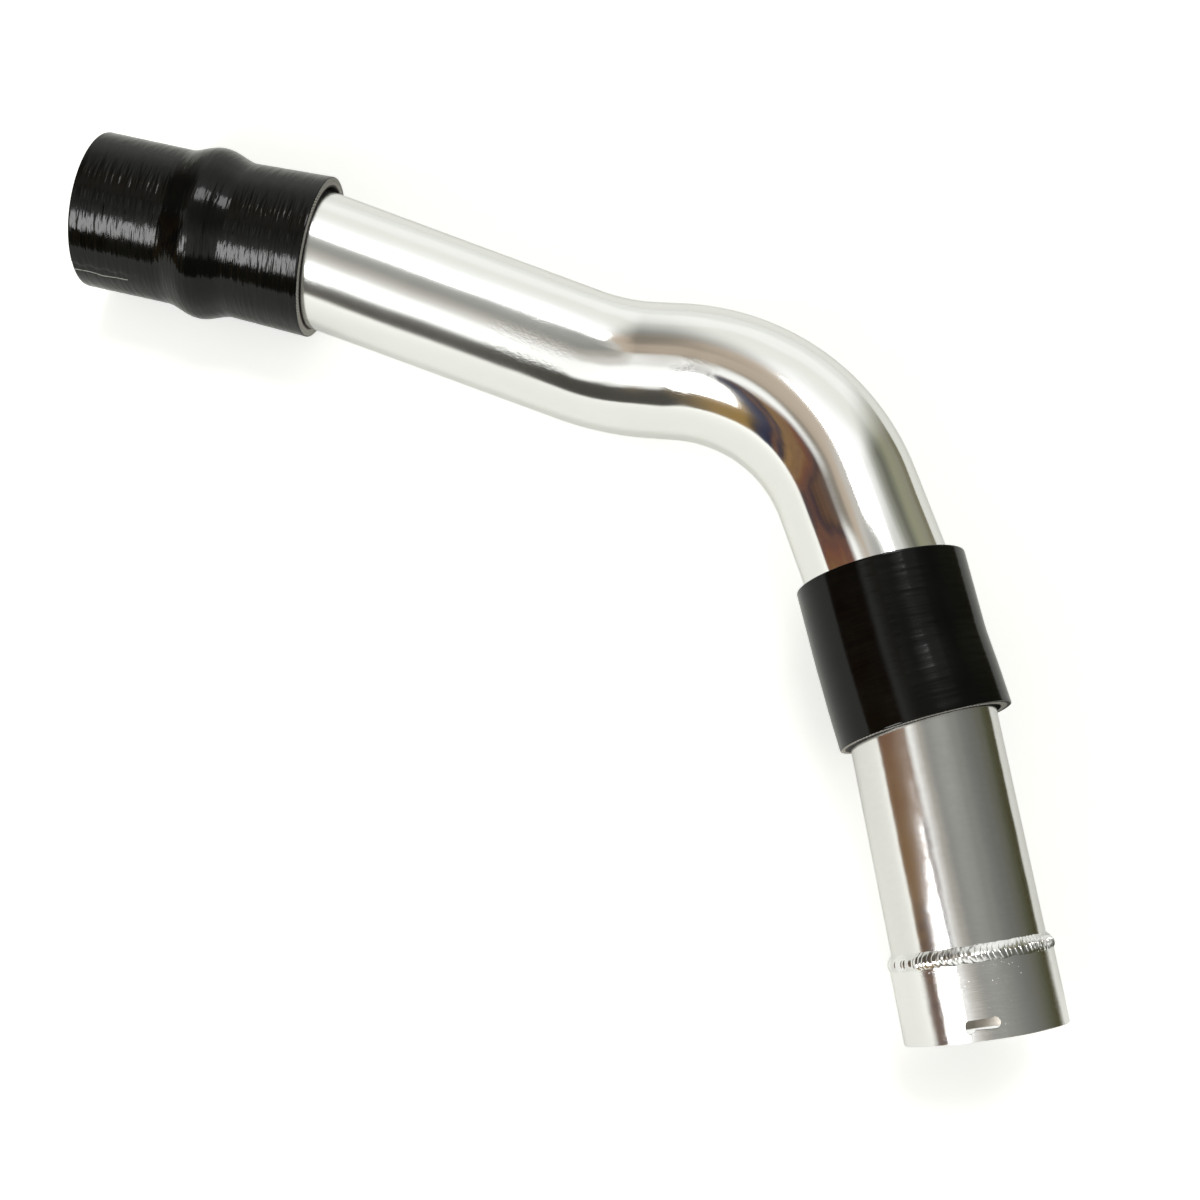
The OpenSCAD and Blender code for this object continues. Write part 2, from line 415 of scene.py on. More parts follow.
def polished_metal(name, tint, rough):
    """Buffed aluminium: slow waves of hand polishing, faint buffing lines and some rough patches."""
    m, nt, bsdf = material(name)
    co = local_coords(nt)
    slow = noise(nt, co, 16.0, 1.0, 0.4)
    stretched = node(nt, "ShaderNodeMapping", {"Vector": co, "Scale": (700.0, 700.0, 220.0)}).outputs[0]
    fine = noise(nt, stretched, 1.0, 2.0, 0.5)
    patch = noise(nt, co, 30.0, 4.0, 0.6)
    marks = 0.0
    for place, turn, radius in RUBBED:
        spot = ball(nt, co, place @ turn_z(turn) @ Vector((TUBE_R, 0, 0)), radius)
        marks = maths(nt, "MAXIMUM", marks, spot)
    grit = noise(nt, co, 1300.0, 2.0, 0.6)
    coarse = noise(nt, co, 520.0, 2.0, 0.6)
    rub = times(nt, marks, plus(nt, grit, times(nt, coarse, 1.6)))
    waves = bump(nt, slow, 0.0013)
    lines = bump(nt, fine, 0.000010, 0.5, waves)
    z = node(nt, "ShaderNodeSeparateXYZ", {0: co}).outputs[2]
    polish = between(nt, z, DULL_UNTIL, BRIGHT_FROM, rough, rough * 0.5)
    fill(nt, bsdf, {
        "Metallic": 1.0,
        "Base Color": blend(nt, patch, [c * 0.96 for c in tint], tint),
        "Roughness": times_plus(nt, patch, 0.06, polish),
        "Normal": bump(nt, rub, 0.00010, 0.8, lines),
    })
    return m


def brushed_metal(name, tint, rough, along, around, depth):
    """Satin aluminium: fine marks, closer along the tube than round it, with tiny specks."""
    m, nt, bsdf = material(name)
    co = local_coords(nt)
    _, a, z = polar(nt, co)
    marks = noise(nt, vector(nt, times(nt, z, along), times(nt, a, around)), 1.0, 4.0, 0.65)
    broad = noise(nt, co, 30.0, 3.0, 0.5)
    speck = node(nt, "ShaderNodeTexVoronoi", {"Vector": co, "Scale": 260.0}, feature="F1").outputs[0]
    dots = ramp(nt, speck, [(0.0, (1, 1, 1)), (0.09, (0, 0, 0))])
    height = plus(nt, marks, times(nt, dots, 1.2))
    fill(nt, bsdf, {
        "Metallic": 1.0,
        "Base Color": blend(nt, marks, [c * 0.9 for c in tint], tint),
        "Roughness": times_plus(nt, broad, rough * 0.5, rough * 0.75),
        "Normal": bump(nt, height, depth, 0.7, bump(nt, broad, 0.00035)),
    })
    return m


def inside_metal():
    """Dull aluminium, as the inside of the collar shows through its slot, with painted shade: darker and
    browner than the outside, mottled at random.
    """
    m, nt, bsdf = material("inside_alloy")
    mottled_shade = noise(nt, local_coords(nt), 120.0, 3.0, 0.6)
    fill(nt, bsdf, {
        "Metallic": 1.0,
        # Painted shade: darker, browner colours than the outside metal, for the shade inside the collar
        "Base Color": ramp(nt, mottled_shade, [(0.3, (0.42, 0.385, 0.33)), (0.7, (0.60, 0.56, 0.50))]),
        "Roughness": 0.42,
    })
    return m


def weld_metal():
    """Bright weld aluminium with a little soot."""
    m, nt, bsdf = material("weld_metal")
    co = local_coords(nt)
    grain = noise(nt, co, 900.0, 4.0, 0.6)
    soot = noise(nt, co, 130.0, 3.0, 0.5)
    fill(nt, bsdf, {
        "Metallic": 1.0,
        "Base Color": ramp(nt, soot, [(0.3, (0.74, 0.74, 0.73)), (0.6, (0.93, 0.935, 0.93))]),
        "Roughness": times_plus(nt, soot, 0.20, 0.05),
        "Normal": bump(nt, grain, 0.00004, 0.7),
    })
    return m


# Painted highlight: the pale broken glint along the hump hose's seam; its turn, its wander and half width in
# radians, and its start
SEAM_GLINT_TURN = -26.6
SEAM_GLINT_WANDER = 0.10
SEAM_GLINT_HALF_WIDTH = 0.0075
SEAM_GLINT_FROM = -98 * MM


def painted_seam_glint(nt, co, wobble):
    """1 on the painted glint along the seam, and 0 beside it and in its gaps."""
    _, a, z = polar(nt, co)
    middle = times_plus(nt, wobble, SEAM_GLINT_WANDER, -rad(SEAM_GLINT_TURN) - SEAM_GLINT_WANDER / 2)
    thin = maths(nt, "LESS_THAN", maths(nt, "ABSOLUTE", plus(nt, a, middle)), SEAM_GLINT_HALF_WIDTH)
    part = maths(nt, "LESS_THAN", z, SEAM_GLINT_FROM)
    broken = maths(nt, "GREATER_THAN", noise(nt, co, 420.0, 2.0, 0.5), 0.40)
    return times(nt, times(nt, thin, part), broken)


def hose_rubber(name, with_glint, depth):
    """Glossy black silicone with the fine ridges that the wrapping tape leaves round it."""
    m, nt, bsdf = material(name)
    co = local_coords(nt)
    _, a, z = polar(nt, co)
    wobble = noise(nt, co, 60.0, 3.0, 0.6)
    threads = vector(nt, times(nt, z, 900.0), times(nt, a, 5.0), times(nt, wobble, 2.0))
    laps = vector(nt, times(nt, z, 430.0), times(nt, a, 2.2), times(nt, wobble, 1.5))
    ridges = times(nt, noise(nt, threads, 1.0, 2.0, 0.5), 0.7)
    tape = times_plus(nt, noise(nt, laps, 1.0, 1.0, 0.5), 2.4, ridges)
    cloth = noise(nt, co, 1500.0, 2.0, 0.5)
    skin = ramp(nt, wobble, [(0.35, (0.0010, 0.0011, 0.0008)), (0.7, (0.0024, 0.0026, 0.0020))])
    # On the hump hose, a pale line painted into the skin along the seam is a painted highlight, the glint of
    # the seam's edge
    if with_glint:
        skin = blend(nt, painted_seam_glint(nt, co, wobble), skin, (0.34, 0.34, 0.32))
    fill(nt, bsdf, {
        "Base Color": skin,
        "Roughness": times_plus(nt, wobble, 0.10, 0.07),
        "Specular IOR Level": 0.24,
        "Normal": bump(nt, cloth, 0.00001, 0.5, bump(nt, tape, depth, 0.8)),
    })
    return m


def hose_liner():
    """The dull dark fabric inside the hoses."""
    m, nt, bsdf = material("hose_liner")
    weave = noise(nt, local_coords(nt), 700.0, 3.0, 0.6)
    fill(nt, bsdf, {
        "Base Color": ramp(nt, weave, [(0.3, (0.016, 0.016, 0.016)), (0.7, (0.034, 0.033, 0.032))]),
        "Roughness": times_plus(nt, weave, 0.2, 0.42),
        "Normal": bump(nt, weave, 0.00008, 0.6),
    })
    return m


# Colours through a hose's wall, from its bore to its skin
PLIES = [
    (0.0, (0.020, 0.019, 0.018)),
    (0.10, (0.10, 0.085, 0.08)),
    (0.20, (0.22, 0.19, 0.16)),
    (0.45, (0.24, 0.225, 0.19)),
    (0.62, (0.12, 0.11, 0.10)),
    (0.80, (0.25, 0.24, 0.21)),
    (0.93, (0.05, 0.048, 0.045)),
    (1.0, (0.012, 0.012, 0.012)),
]


def ply_cut(name, bore):
    """The cut end of the hose: fabric plies in beige and grey, with rows of cut white threads."""
    m, nt, bsdf = material(name)
    co = local_coords(nt)
    r, a, _ = polar(nt, co)
    depth = maths(nt, "DIVIDE", maths(nt, "SUBTRACT", r, bore), HOSE_WALL)
    rag = times(nt, maths(nt, "SUBTRACT", noise(nt, co, 380.0, 3.0, 0.6), 0.5), 0.16)
    level = plus(nt, depth, rag)
    dots_along = maths(nt, "SINE", plus(nt, times(nt, a, 120.0), times(nt, rag, 9.0)))
    rows = maths(nt, "SINE", times(nt, level, 17.0))
    dots = maths(nt, "GREATER_THAN", times(nt, dots_along, rows), 0.15)
    inside = times(nt, maths(nt, "GREATER_THAN", level, 0.18), maths(nt, "LESS_THAN", level, 0.86))
    thread = times(nt, dots, inside)
    height = plus(nt, thread, times(nt, noise(nt, co, 1400.0, 3.0, 0.6), 0.8))
    fill(nt, bsdf, {
        "Base Color": blend(nt, times(nt, thread, 0.95), ramp(nt, level, PLIES), (0.88, 0.87, 0.82)),
        "Roughness": 0.72,
        "Normal": bump(nt, height, 0.00018, 0.8),
    })
    return m


POLISHED = polished_metal("polished_alloy", (0.94, 0.945, 0.93), 0.14)
SATIN = brushed_metal("satin_alloy", (0.865, 0.865, 0.85), 0.14, 500.0, 6.0, 0.00002)
BRUSHED = brushed_metal("brushed_collar", (0.96, 0.96, 0.95), 0.13, 2600.0, 2.0, 0.00009)
INSIDE = inside_metal()
WELD = weld_metal()
RUBBER = hose_rubber("hose_rubber", False, 0.000014)
# The hump hose's rubber, with the painted highlight along its seam
RUBBER_SEAM_GLINT = hose_rubber("hose_rubber_seam_glint", True, 0.00019)
LINER = hose_liner()
PLY_HUMP = ply_cut("ply_cut_hump", HUMP_MOUTH_R)
PLY_FREE = ply_cut("ply_cut_free", HUMP_BORE_R)
PLY_TOP = ply_cut("ply_cut_top", COUPLER_TOP_R)
PLY_LOW = ply_cut("ply_cut_low", COUPLER_LOW_R)


# Upper pipe: one smooth swept tube
def pipe_stations():
    out = [shift(0, 0, z) for z in spaced(0, FIRST_STRAIGHT, 40)]
    out += [F_BEND_1 @ bent(BEND_RADIUS, a, FIRST_ROLL) for a in spaced(0, FIRST_BEND, 33)[1:]]
    out += [F_MID @ shift(0, 0, z) for z in spaced(0, MID_STRAIGHT, 6)[1:]]
    out += [F_BEND_2 @ bent(BEND_RADIUS, a, SECOND_ROLL) for a in spaced(0, SECOND_BEND, 95)[1:]]
    out += [F_LAST @ shift(0, 0, z) for z in spaced(0, LAST_STRAIGHT, 18)[1:]]
    return out


def upper_pipe():
    stations = pipe_stations()
    steps = range(len(stations))
    profile = [(TUBE_R, i, 0) for i in steps] + [(TUBE_R - TUBE_WALL, i, 0) for i in reversed(steps)]
    return revolve("upper_pipe_skin", profile, 200, [POLISHED], REST, 40, track=lambda i: stations[i])


# Hoses: the material of a profile's ring is one of these places in the list of the hose's materials
SKIN, LINING, CUT, FAR_CUT = range(4)


def uneven(z, a, around, along, seed=0.0):
    """Noise from 0 to 1 over the hose's surface."""
    return 0.5 + 0.5 * mnoise.noise(Vector((math.cos(a) * around, math.sin(a) * around, z * along + seed)))


def wrap_ridge(z, a, seed):
    """Depth of the wrap's ridges: long round the hose, short along it."""
    return 0.11 * MM * uneven(z, a, 1.3, 360, seed) + 0.05 * MM * uneven(z, a, 3.1, 800, seed)


def hump_profile():
    """From the mouth on the pipe over the outside to the free end, and back through the bore."""
    start = HUMP_CENTRE - HUMP_WIDTH / 2
    stop, end = -(start + HUMP_WIDTH), -HUMP_HOSE_LENGTH
    rim, free = HUMP_MOUTH_R + HOSE_WALL, HUMP_BORE_R + HOSE_WALL
    crest = [
        (HUMP_BORE_R + HUMP_HEIGHT * ease(1 - abs(2 * t - 1)), -(start + HUMP_WIDTH * t))
        for t in spaced(0, 1, 76)
    ]
    p = [(rim - HOSE_EDGE, 0, SKIN), (rim - HOSE_EDGE * 0.3, -HOSE_EDGE * 0.3, SKIN)]
    p += [(rim - 2 * HOSE_INSET, -HOSE_EDGE, SKIN)]
    for t in spaced(0, 1, 80)[1:]:
        p.append((rim + (free - rim) * t - HOSE_INSET, -HOSE_EDGE + (HOSE_EDGE - start) * t, SKIN))
    p += [(r + HOSE_WALL - HOSE_INSET, z, SKIN) for r, z in crest[1:]]
    p += [(free - HOSE_INSET, z, SKIN) for z in spaced(stop, end + HOSE_EDGE, 90)[1:]]
    p += [(free - HOSE_EDGE * 0.3, end + HOSE_EDGE * 0.3, SKIN)]
    p += [(r, end, FAR_CUT) for r in spaced(free - HOSE_EDGE, HUMP_BORE_R, 5)[:-1]]
    p += [(HUMP_BORE_R, z, LINING) for z in spaced(end, stop, 10)]
    p += [(r, z, LINING) for r, z in reversed(crest[:-1])]
    widest, narrowest = -HUMP_GRIP - HOSE_OVERRUN, HOSE_OVERRUN - start
    for t in spaced(0, 1, 8):
        r = HUMP_BORE_R + (HUMP_MOUTH_R - HUMP_BORE_R) * ease(t)
        p.append((r, narrowest + (widest - narrowest) * t, LINING))
    p += [(HUMP_MOUTH_R, z, LINING) for z in spaced(widest, 0, 6)[1:-1]]
    p += [(r, 0, CUT) for r in spaced(HUMP_MOUTH_R, rim - HOSE_EDGE, 6)[:-1]]
    return p


# The outer ply's lapped edge along the hump hose: its turn, and where it starts and is whole
LAP_TURN = -33.0
LAP_FROM, LAP_WHOLE = 88 * MM, 106 * MM
LAP_STEP = 0.35 * MM


def hump_warp(r, z, a):
    """Soft unevenness of the hose and the lap of its outer ply, never outside the solid."""
    if r <= HUMP_BORE_R + HOSE_WALL - HOSE_UNEVEN:
        return r
    dip = 0.10 * MM * uneven(z, a, 1.6, 26) + wrap_ridge(z, a, 3.0)
    lap = rad(LAP_TURN) + 0.02 * math.sin(z * 700)
    fade = max(0.0, min(1.0, (-z - LAP_FROM) / (LAP_WHOLE - LAP_FROM)))
    away = (a - lap + math.pi) % (2 * math.pi) - math.pi
    step = LAP_STEP * fade * math.exp(-away * 9) if away > 0 else 0.0
    return r - dip - step


def hump_hose():
    mats = [RUBBER_SEAM_GLINT, LINER, PLY_HUMP, PLY_FREE]
    return revolve("hump_hose_skin", hump_profile(), 240, mats, REST @ F_HUMP, 50, hump_warp)


def coupler_outer(z):
    """Radius of the coupler's outside: a cone down to the waist, then a flare that eases out."""
    waist = WAIST_R + HOSE_WALL - SEAM_STEP
    if z < WAIST_START:
        return COUPLER_TOP_R + HOSE_WALL + (waist - COUPLER_TOP_R - HOSE_WALL) * z / WAIST_START
    t = (FLARE_START - (COUPLER_LENGTH - z)) / (FLARE_START - FLARE_END)
    return waist + (COUPLER_LOW_R + HOSE_WALL - waist) * ease(min(max(t, 0.0), 1.0))


def coupler_inner(z):
    """Radius of the coupler's bore: the two mouths, each eased into the waist."""
    mouth_end = COUPLER_GRIP + HOSE_OVERRUN
    for mouth, d in ((COUPLER_TOP_R, z), (COUPLER_LOW_R, COUPLER_LENGTH - z)):
        if d < WAIST_START:
            t = max(0.0, (d - mouth_end) / (WAIST_START - mouth_end))
            return mouth + (WAIST_R + SEAM_STEP - mouth) * ease(t)
    return WAIST_R + SEAM_STEP


def coupler_profile():
    """From the top mouth down the outside to the low mouth, and back through the bore."""
    top, low, end = COUPLER_TOP_R + HOSE_WALL, COUPLER_LOW_R + HOSE_WALL, COUPLER_LENGTH
    p = [(top - HOSE_EDGE, 0, SKIN), (top - HOSE_EDGE * 0.3, HOSE_EDGE * 0.3, SKIN)]
    p += [(coupler_outer(z) - HOSE_INSET, z, SKIN) for z in spaced(HOSE_EDGE, end - HOSE_EDGE, 170)]
    p += [(low - HOSE_EDGE * 0.3, end - HOSE_EDGE * 0.3, SKIN)]
    p += [(r, end, FAR_CUT) for r in spaced(low - HOSE_EDGE, COUPLER_LOW_R, 6)[:-1]]
    p += [(coupler_inner(z), z, LINING) for z in spaced(end, 0, 44)[:-1]]
    p += [(r, 0, CUT) for r in spaced(COUPLER_TOP_R, top - HOSE_EDGE, 6)[:-1]]
    return p


def coupler_warp(r, z, a):
    """Soft unevenness of the hose, never outside the solid."""
    if r <= WAIST_R + HOSE_WALL - HOSE_UNEVEN:
        return r
    return r - 0.08 * MM * uneven(z, a, 1.7, 30, 4) - 0.6 * wrap_ridge(z, a, 9.0)


def coupler_track(z):
    """The coupler's frame at a distance along it: straight, through its small bend, and straight again."""
    bend = min(max(z - COUPLER_HALF, 0.0), COUPLER_ARC)
    turned = bent(COUPLER_BEND_RADIUS, math.degrees(bend / COUPLER_BEND_RADIUS), COUPLER_BEND_DIR)
    return shift(0, 0, min(z, COUPLER_HALF)) @ turned @ shift(0, 0, max(z - COUPLER_HALF - COUPLER_ARC, 0.0))


def coupler_hose():
    mats = [RUBBER, LINER, PLY_TOP, PLY_LOW]
    at = REST @ F_COUPLER
    return revolve("coupler_hose_skin", coupler_profile(), 240, mats, at, 50, coupler_warp, coupler_track)


# Lower tube and its collar
def lower_tube():
    p = [(TUBE_R, z, 0) for z in spaced(0, LOWER_LENGTH, 30)]
    p += [(TUBE_R - TUBE_WALL, z, 0) for z in spaced(LOWER_LENGTH, 0, 30)]
    return revolve("lower_tube_skin", p, 192, [SATIN], REST @ F_LOWER, 40)


def slot_outline():
    """The slot's outline in the plane that is square to its direction: a bar, a round end and a foot."""
    end, foot = SLOT_END_D / 2, SLOT_FOOT_D / 2
    bar = SLOT_LENGTH - end - foot
    pts = []
    for t in spaced(0, 1, 32):
        a = rad(-90 + 180 * t)
        pts.append((bar / 2 + end * math.cos(a), end * math.sin(a)))
    pts += [(bar / 2, SLOT_HEIGHT / 2), (-bar / 2, SLOT_HEIGHT / 2)]
    for t in spaced(0, 1, 32):
        a = rad(100 + 170 * t)
        pts.append((-bar / 2 + foot * math.cos(a), foot * math.sin(a) - SLOT_FOOT_DROP * ease(t)))
    pts += [(-bar / 2 + foot * 0.8, -SLOT_FOOT_DROP - foot * 0.5), (-bar / 2 + foot, -SLOT_HEIGHT / 2)]
    return pts


def slot_cutter():
    """A prism through the collar's wall, with the outline that the part's source cuts."""
    pts = slot_outline()
    n = len(pts)
    verts = [(depth, -x, -y) for depth in (COLLAR_BORE_R - 6 * MM, COLLAR_R + 3 * MM) for x, y in pts]
    faces = [tuple(range(n)), tuple(range(2 * n - 1, n - 1, -1))]
    faces += [(i, (i + 1) % n, n + (i + 1) % n, n + i) for i in range(n)]
    place = shift(0, 0, COLLAR_LENGTH - SLOT_FROM_END) @ turn_z(SLOT_DIR)
    obj = new_object("slot_cutter", verts, faces, [], None, REST @ F_COLLAR @ place, False)
    face_outward(obj)
    return obj


def cut_slot(obj):
    """Takes the slot's prism out of the collar."""
    bpy.context.view_layer.update()
    cutter = slot_cutter()
    cut = obj.modifiers.new("slot", "BOOLEAN")
    cut.operation, cut.object, cut.solver = "DIFFERENCE", cutter, "EXACT"
    bpy.context.view_layer.update()
    done = bpy.data.meshes.new_from_object(obj.evaluated_get(bpy.context.evaluated_depsgraph_get()))
    obj.modifiers.clear()
    obj.data = done
    bpy.data.objects.remove(cutter)


def shade_collar(mesh):
    """Round normals on the collar's two walls, and the dull metal with painted shade on its bore and the
    slot's long walls.
    """
    slack, bore = 0.05 * MM, 1
    normals = []
    for poly in mesh.polygons:
        n = poly.normal
        level = abs(n.z) > 0.9
        if level and 1 * MM < poly.center.z < COLLAR_LENGTH - 1 * MM:
            poly.material_index = bore
        for v in poly.vertices:
            co = mesh.vertices[v].co
            r = math.hypot(co.x, co.y)
            radial = Vector((co.x, co.y, 0)) / r
            if abs(r - COLLAR_R) < slack and n.dot(radial) > 0.99:
                normals.append(tuple(radial))
            elif abs(r - COLLAR_BORE_R) < slack and n.dot(radial) < -0.99:
                normals.append(tuple(-radial))
                poly.material_index = bore
            else:
                normals.append((0, 0, 0) if poly.use_smooth and not level else tuple(n))
    mesh.normals_split_custom_set(normals)


def end_collar():
    edge = COLLAR_EDGE
    p = [(COLLAR_R - edge, 0, 0), (COLLAR_R, edge, 0)]
    p += [(COLLAR_R, z, 0) for z in spaced(edge, COLLAR_LENGTH - edge, 30)[1:]]
    p += [(COLLAR_R - edge, COLLAR_LENGTH, 0), (COLLAR_BORE_R + edge, COLLAR_LENGTH, 0)]
    p += [(COLLAR_BORE_R, z, 0) for z in spaced(COLLAR_LENGTH - edge, 0, 12)]
    obj = revolve("end_collar_skin", p, 256, [BRUSHED, INSIDE], REST @ F_COLLAR)
    cut_slot(obj)
    face_outward(obj, 30)
    shade_collar(obj.data)
    return obj


# Weld bead: overlapping puddles round the tube, with ragged edges
PUDDLES = 88
BEAD_FOOT = BEAD_WIDTH * 0.56
BEAD_HEAD = BEAD_WIDTH - BEAD_FOOT


def weld_point(s, a):
    """Radius and height of the bead at a share s of its width and an angle a round the tube."""
    wander = mnoise.noise(Vector((math.cos(a) * 9, math.sin(a) * 9, 1.7)))
    ragged = mnoise.noise(Vector((math.cos(a) * 26, math.sin(a) * 26, 5.1)))
    width = 0.97 + 0.06 * wander + 0.13 * ragged
    z = BEAD_WIDTH * (0.5 - BEAD_FOOT / BEAD_WIDTH + (s - 0.5) * width + 0.03 * wander)
    z = min(max(z, -BEAD_FOOT), BEAD_HEAD)
    base = TUBE_R + (COLLAR_R - TUBE_R) * s
    if s in (0.0, 1.0):
        return base - 0.05 * MM, z
    curve = 1.3 * (2 * s - 1) ** 2
    phase = (a / (2 * math.pi) * PUDDLES + curve * 0.45 + 0.35 * wander) % 1.0
    deep = 0.16 + 0.40 * abs(math.cos(a)) ** 1.5
    ripple = deep * (1 - phase) ** 1.5 + 0.24 * ragged
    peak = (BEAD_R - (TUBE_R + COLLAR_R) / 2) * math.sin(math.pi * s)
    return base + peak * (0.97 - 0.80 * ripple + 0.05 * wander), z


def weld_bead():
    around, across = 1800, 22
    rings = [[weld_point(s, a) for a in angles(around)] for s in spaced(0, 1, across)]
    for r, z in ((COLLAR_R, BEAD_HEAD), (TUBE_R, -BEAD_FOOT)):
        rings.append([(r - 0.1 * MM, z * 0.8)] * around)
    verts = []
    for ring in rings:
        verts += [(r * math.cos(a), r * math.sin(a), z) for a, (r, z) in zip(angles(around), ring)]
    obj = new_object("weld_bead_skin", verts, grid_faces(len(rings), around), [WELD], None, REST @ F_COLLAR)
    face_outward(obj, 75)
    return obj


def spatter():
    """A few beads of weld spatter on the collar, just below the weld."""
    rng = np.random.default_rng(7)
    bm = bmesh.new()
    for _ in range(22):
        turn = 228 + 34 * rng.random()
        z = (5.0 + 9.0 * rng.random() ** 1.5) * MM
        size = (0.16 + 0.30 * rng.random() ** 2) * MM
        m = turn_z(turn) @ shift(COLLAR_R - size * 0.35, 0, z)
        bmesh.ops.create_icosphere(bm, subdivisions=2, radius=size, matrix=m)
    mesh = bpy.data.meshes.new("weld_spatter")
    bm.to_mesh(mesh)
    bm.free()
    mesh.materials.append(WELD)
    mesh.polygons.foreach_set("use_smooth", [True] * len(mesh.polygons))
    return put("weld_spatter", mesh, REST @ F_COLLAR)


for make, cad, slot in (
    (hump_hose, "hump_hose", "silicone_hose"),
    (upper_pipe, "upper_pipe", "polished_tube"),
    (coupler_hose, "coupler_hose", "silicone_hose"),
    (lower_tube, "lower_tube", "satin_tube"),
    (weld_bead, "weld_bead", "weld"),
    (end_collar, "end_collar", "satin_tube"),
):
    piece = make()
    seat(piece)
    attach(piece, "root")
    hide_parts(cad)

dots = spatter()
seat(dots)
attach(dots, "root")


# Camera, fitted to the photograph: its place, its axes in the part's frame and its lens
CAMERA_AT = Vector((0.379696, -0.409419, 0.740934))
CAMERA_RIGHT = Vector((0.9461603, 0.3154027, 0.0728138))
CAMERA_DOWN = Vector((0.3203446, -0.8800628, -0.3505264))
CAMERA_AHEAD = Vector((-0.0464762, 0.3549797, -0.933718))
SENSOR_MM, LENS_MM = 36.0, 45.0


def make_camera():
    data = bpy.data.cameras.new("camera")
    data.sensor_width = SENSOR_MM
    data.sensor_fit = "HORIZONTAL"
    data.lens = LENS_MM
    data.clip_start = 0.01
    axes = Matrix((CAMERA_RIGHT, -CAMERA_DOWN, -CAMERA_AHEAD)).transposed().to_4x4()
    bpy.context.scene.camera = put("camera", data, Matrix.Translation(CAMERA_AT) @ axes)


make_camera()


# Floor: pale paper, whitened by Light Path where the camera or a mirror sees it
FLOOR_Z = CAD_BOX[0][2]
FLOOR_LOW, FLOOR_HIGH = (-0.75, -0.80), (0.78, 0.85)
CAMERA_GLOW, MIRROR_GLOW = 0.45, 0.04


def make_floor():
    (x0, y0), (x1, y1) = FLOOR_LOW, FLOOR_HIGH
    verts = [(x, y, FLOOR_Z) for x, y in ((x0, y0), (x1, y0), (x1, y1), (x0, y1))]
    m, nt, bsdf = material("floor_paper")
    grain = noise(nt, local_coords(nt), 60.0, 2.0, 0.5)
    paper = ramp(nt, grain, [(0.0, (0.87, 0.88, 0.845)), (1.0, (0.89, 0.90, 0.865))])
    fill(nt, bsdf, {"Base Color": paper, "Roughness": 0.9, "Specular IOR Level": 0.1})
    rays = node(nt, "ShaderNodeLightPath").outputs
    seen = times(nt, rays["Is Camera Ray"], CAMERA_GLOW)
    mirrored = times(nt, rays["Is Glossy Ray"], MIRROR_GLOW)
    through = times(nt, rays["Is Transmission Ray"], MIRROR_GLOW)
    level = plus(nt, seen, plus(nt, mirrored, through))
    glow = node(nt, "ShaderNodeEmission", {"Color": (1, 1, 1, 1), "Strength": level})
    add = node(nt, "ShaderNodeAddShader", {0: bsdf.outputs[0], 1: glow.outputs[0]})
    nt.links.new(add.outputs[0], nt.nodes["Material Output"].inputs[0])
    obj = new_object("floor", verts, [(0, 1, 2, 3)], [m], None, None, False)
    seat(obj)


make_floor()


# World: a plain room, pale on its far side, with dark and brown things on the camera's side
# Each side is a list of colours by height over the horizon, in degrees
ZENITH = (0.34, 0.34, 0.32)
FAR = [(-20, (0.76, 0.77, 0.72)), (4, (0.83, 0.84, 0.80)), (14, (0.98, 0.98, 0.95)), (24, (0.96, 0.96, 0.93)),
       (33, (0.85, 0.86, 0.80)), (46, (0.88, 0.89, 0.84)), (56, (1.05, 1.05, 1.04)), (77, (1.02, 1.02, 1.0)),
       (85, ZENITH)]
FAR_RIGHT = [(-40, (0.60, 0.60, 0.50)), (-28, (0.24, 0.23, 0.15)), (-8, (0.19, 0.18, 0.12)),
             (6, (0.27, 0.26, 0.20)), (20, (0.29, 0.29, 0.20)), (35, (0.15, 0.15, 0.12)),
             (49, (0.26, 0.26, 0.22)), (58, (0.66, 0.66, 0.62)), (76, (0.60, 0.60, 0.58)), (84, ZENITH)]
RIGHT = [(-40, (0.50, 0.51, 0.40)), (-28, (0.16, 0.15, 0.08)), (-11, (0.06, 0.055, 0.025)),
         (4, (0.10, 0.10, 0.065)), (19, (0.145, 0.145, 0.12)), (33, (0.17, 0.17, 0.155)),
         (48, (0.20, 0.205, 0.19)), (63, (0.26, 0.26, 0.24)), (84, ZENITH)]
NEAR = [(-12, (0.72, 0.71, 0.64)), (0, (0.60, 0.58, 0.52)), (16, (0.80, 0.79, 0.74)),
        (26, (1.12, 1.12, 1.08)), (50, (1.05, 1.05, 1.02)), (59, (0.66, 0.64, 0.60)),
        (67, (0.42, 0.40, 0.36)), (76, (0.29, 0.29, 0.27)), (88, ZENITH)]
BEHIND = [(-20, (0.62, 0.62, 0.58)), (-4, (0.22, 0.20, 0.15)), (10, (0.10, 0.08, 0.06)),
          (38, (0.10, 0.095, 0.09)), (52, (0.24, 0.21, 0.17)), (62, (0.52, 0.43, 0.34)),
          (70, (0.56, 0.54, 0.50)), (82, ZENITH)]
